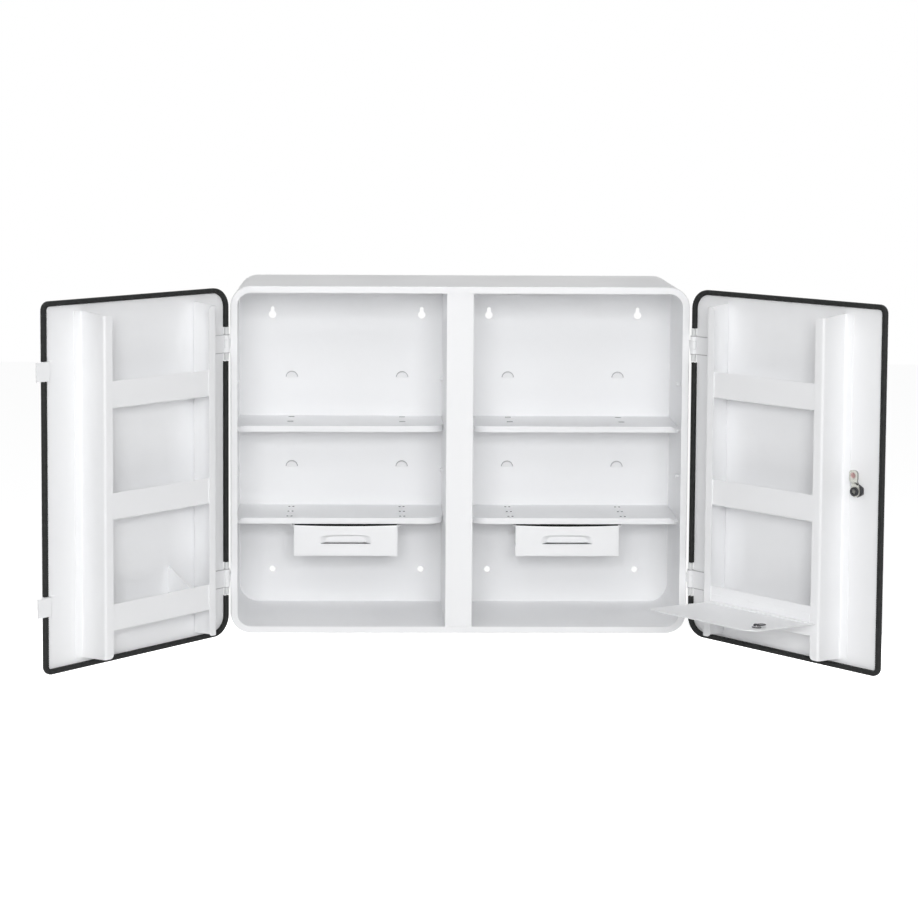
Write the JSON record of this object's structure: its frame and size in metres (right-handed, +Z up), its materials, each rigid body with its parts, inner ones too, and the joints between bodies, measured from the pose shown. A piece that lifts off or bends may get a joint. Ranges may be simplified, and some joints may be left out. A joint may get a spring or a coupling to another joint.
{
  "type": "first aid cabinet",
  "caption": "Wall cabinet of folded sheet steel: two hinged doors with storage racks and rubber edging, shelves, small drawers, a fold-down flap and cam locks.",
  "frame": {"origin": "middle of the cabinet's back face, where it meets the wall", "axes": "+X to the right seen from the front, +Y into the wall, +Z up"},
  "size_m": [1.0336, 0.4807, 0.462],
  "materials": {
    "white_enamel": "satin white powder coat",
    "rubber_black": "matt black edging",
    "hinge_steel": "zinc plated",
    "lock_chrome": "polished",
    "cam_steel": "zinc plated",
    "lock_black": "blackened"
  },
  "bodies": {
    "cabinet": {"back_panel": "white_enamel", "carcass_hinge_leaves": "white_enamel", "carcass_shell": "white_enamel", "centre_column": "white_enamel", "drawer_runners_left": "white_enamel", "drawer_runners_right": "white_enamel", "hinge_pins": "hinge_steel", "hinge_pin_sleeves": "hinge_steel", "shelf_lower_left": "white_enamel", "shelf_lower_right": "white_enamel", "shelf_upper_left": "white_enamel", "shelf_upper_right": "white_enamel", "shelf_studs": "white_enamel"},
    "left_door": {"left_door_hinge_leaves": "white_enamel", "left_door_panel": "white_enamel", "left_door_post_free_side": "white_enamel", "left_door_post_hinge_side": "white_enamel", "left_door_seal": "rubber_black", "left_door_strike_tabs": "white_enamel", "left_door_tray_bottom": "white_enamel", "left_door_tray_divider": "white_enamel", "left_door_tray_middle": "white_enamel", "left_door_tray_top": "white_enamel"},
    "right_door": {"right_door_hinge_leaves": "white_enamel", "right_door_panel": "white_enamel", "right_door_post_free_side": "white_enamel", "right_door_post_hinge_side": "white_enamel", "right_door_seal": "rubber_black", "right_door_tray_bottom": "white_enamel", "right_door_tray_middle": "white_enamel", "right_door_tray_top": "white_enamel", "flap_hinge_fixed_leaf": "white_enamel", "flap_hinge_pin": "hinge_steel", "lock_housing": "lock_chrome", "lock_nut": "lock_black"},
    "flap": {"flap": "white_enamel", "flap_hinge_moving_leaf": "white_enamel", "flap_lock_housing": "lock_chrome"},
    "flap_lock": {"flap_lock_plug": "lock_chrome", "flap_lock_cam": "lock_black", "flap_lock_screw": "lock_black"},
    "door_lock": {"lock_plug": "lock_chrome", "lock_cam": "cam_steel", "lock_cam_screw": "lock_black"},
    "left_drawer": {"left_drawer_front": "white_enamel", "left_drawer_tray": "white_enamel"},
    "right_drawer": {"right_drawer_front": "white_enamel", "right_drawer_tray": "white_enamel"}
  },
  "joints": [
    {"name": "left_door_hinge", "type": "hinge", "parent": "cabinet", "child": "left_door", "pos_m": [-0.307, -0.1955, 0], "axis": [0, 0, -1], "range_deg": [-133.5, 46.5]},
    {"name": "right_door_hinge", "type": "hinge", "parent": "cabinet", "child": "right_door", "pos_m": [0.307, -0.1955, 0], "axis": [0, 0, 1], "range_deg": [-132, 48]},
    {"name": "left_drawer_slide", "type": "slide", "parent": "cabinet", "child": "left_drawer", "axis": [0, -1, 0], "range_m": [0, 0.075]},
    {"name": "right_drawer_slide", "type": "slide", "parent": "cabinet", "child": "right_drawer", "axis": [0, -1, 0], "range_m": [0, 0.075]},
    {"name": "flap_hinge", "type": "hinge", "parent": "right_door", "child": "flap", "pos_m": [0.37296, -0.33795, -0.168], "axis": [0.6691, -0.7431, 0], "range_deg": [-85.5, 0]},
    {"name": "door_lock_turn", "type": "hinge", "parent": "right_door", "child": "door_lock", "pos_m": [0.48633, -0.39466, -0.003], "axis": [-0.7431, -0.6691, 0], "range_deg": [-90, 0]},
    {"name": "flap_lock_turn", "type": "hinge", "parent": "flap", "child": "flap_lock", "pos_m": [0.35095, -0.45802, -0.16039], "axis": [-0.0583, -0.0525, -0.9969], "range_deg": [0, 90]}
  ]
}
